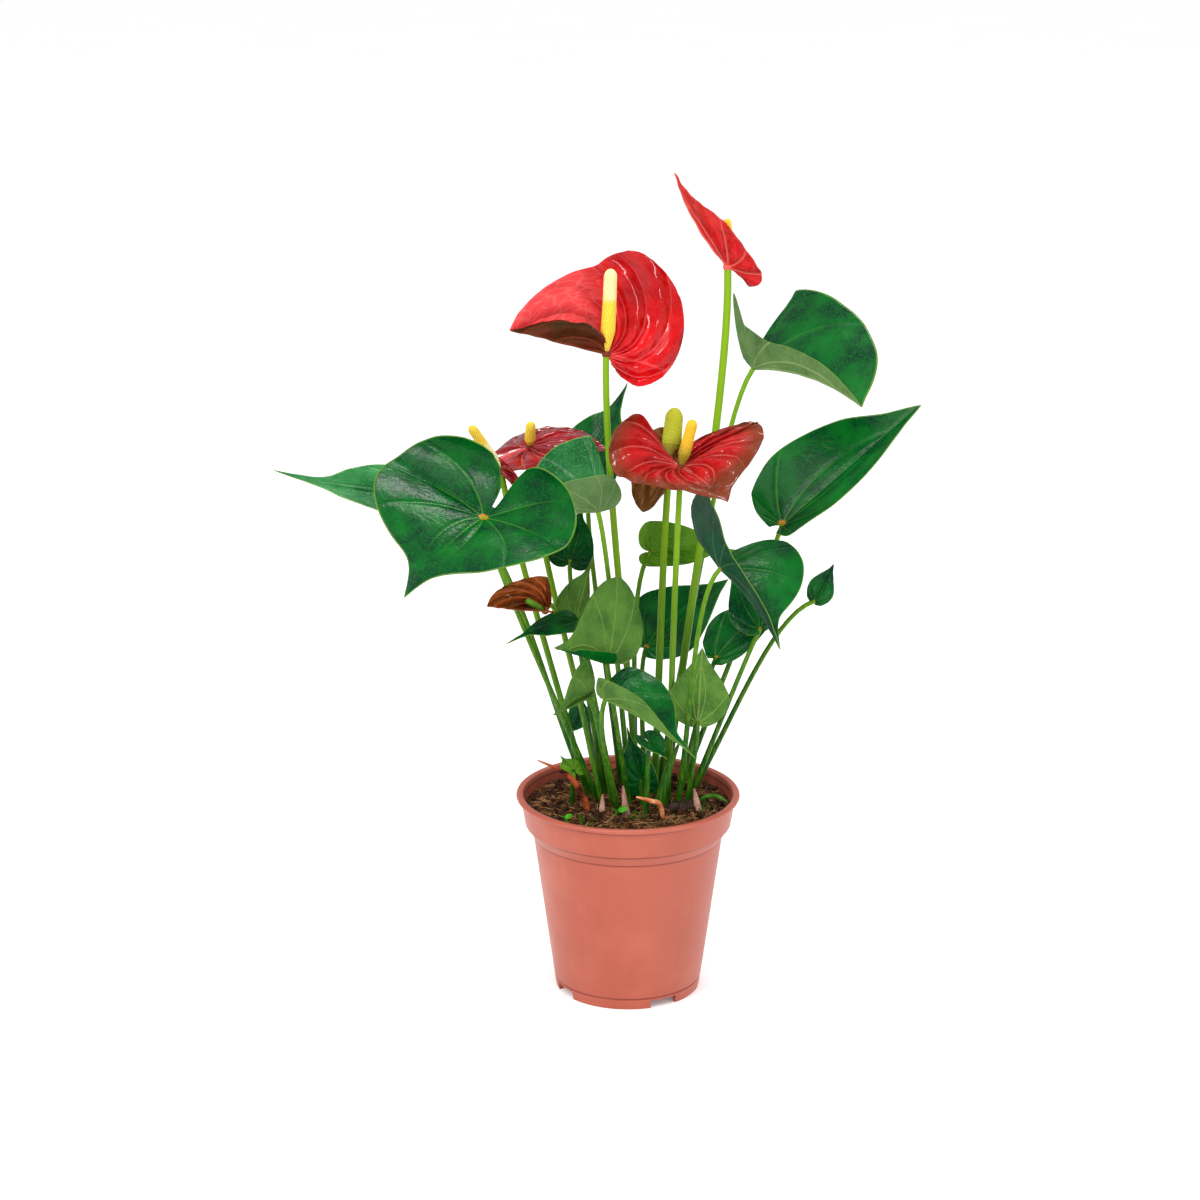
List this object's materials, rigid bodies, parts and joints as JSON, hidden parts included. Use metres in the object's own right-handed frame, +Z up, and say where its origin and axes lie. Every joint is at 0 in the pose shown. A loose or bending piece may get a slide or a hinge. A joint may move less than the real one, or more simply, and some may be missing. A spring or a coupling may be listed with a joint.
{
  "type": "potted anthurium",
  "caption": "Flowering anthurium plant with heart-shaped leaves and red spathes, growing in a plain round plastic nursery pot of soil.",
  "frame": {"origin": "middle of the pot's underside, on the surface that the pot stands on, on the pot's own axis", "axes": "+Z up along the pot's axis, -Y towards the side that the picture shows, +X to its right"},
  "size_m": [0.3385, 0.1767, 0.4409],
  "materials": {
    "pot_plastic": "satin terracotta",
    "potting_soil": "loose fibrous peat",
    "leaf_green": "waxy gloss",
    "stem_green": "satin",
    "spathe_red": "high gloss, ribbed",
    "spathe_copper": "gloss, ribbed",
    "spadix_yellow": "matt, fine florets",
    "sheath_pink": "dry, matt",
    "bract_brown": "dry, matt"
  },
  "bodies": {
    "root": {"bract_dry": "bract_brown", "bract_orange": "bract_brown", "flower_1_spadix": "spadix_yellow", "flower_1_spathe": "spathe_red", "flower_1_stem": "stem_green", "flower_2_spadix": "spadix_yellow", "flower_2_spathe": "spathe_red", "flower_2_stem": "stem_green", "flower_3_spadix": "spadix_yellow", "flower_3_spathe": "spathe_red", "flower_3_stem": "stem_green", "flower_4_spadix": "spadix_yellow", "flower_4_spathe": "spathe_copper", "flower_4_stem": "stem_green", "flower_5_spadix": "spadix_yellow", "flower_5_spathe": "spathe_red", "flower_5_stem": "stem_green", "flower_6_spadix": "spadix_yellow", "flower_6_spathe": "spathe_red", "flower_6_stem": "stem_green", "flower_7_spadix": "spadix_yellow", "flower_7_spathe": "spathe_copper", "flower_7_stem": "stem_green", "grass_blade": "stem_green", "leaf_01": "leaf_green", "leaf_02": "leaf_green", "leaf_03": "leaf_green", "leaf_04": "leaf_green", "leaf_05": "leaf_green", "leaf_06": "leaf_green", "leaf_07": "leaf_green", "leaf_08": "leaf_green", "leaf_09": "leaf_green", "leaf_10": "leaf_green", "leaf_11": "leaf_green", "leaf_12": "leaf_green", "leaf_13": "leaf_green", "leaf_14": "leaf_green", "leaf_15": "leaf_green", "leaf_16": "leaf_green", "leaf_17": "leaf_green", "leaf_18": "leaf_green", "leaf_19": "leaf_green", "leaf_20": "leaf_green", "leaf_22": "leaf_green", "leaf_23": "leaf_green", "leaf_24": "leaf_green", "pot": "pot_plastic", "sheath_pink_1": "sheath_pink", "sheath_pink_2": "sheath_pink", "sheath_pink_3": "sheath_pink", "shoot_new": "stem_green", "soil": "potting_soil", "weed_1": "stem_green", "weed_2": "stem_green"}
  },
  "joints": []
}
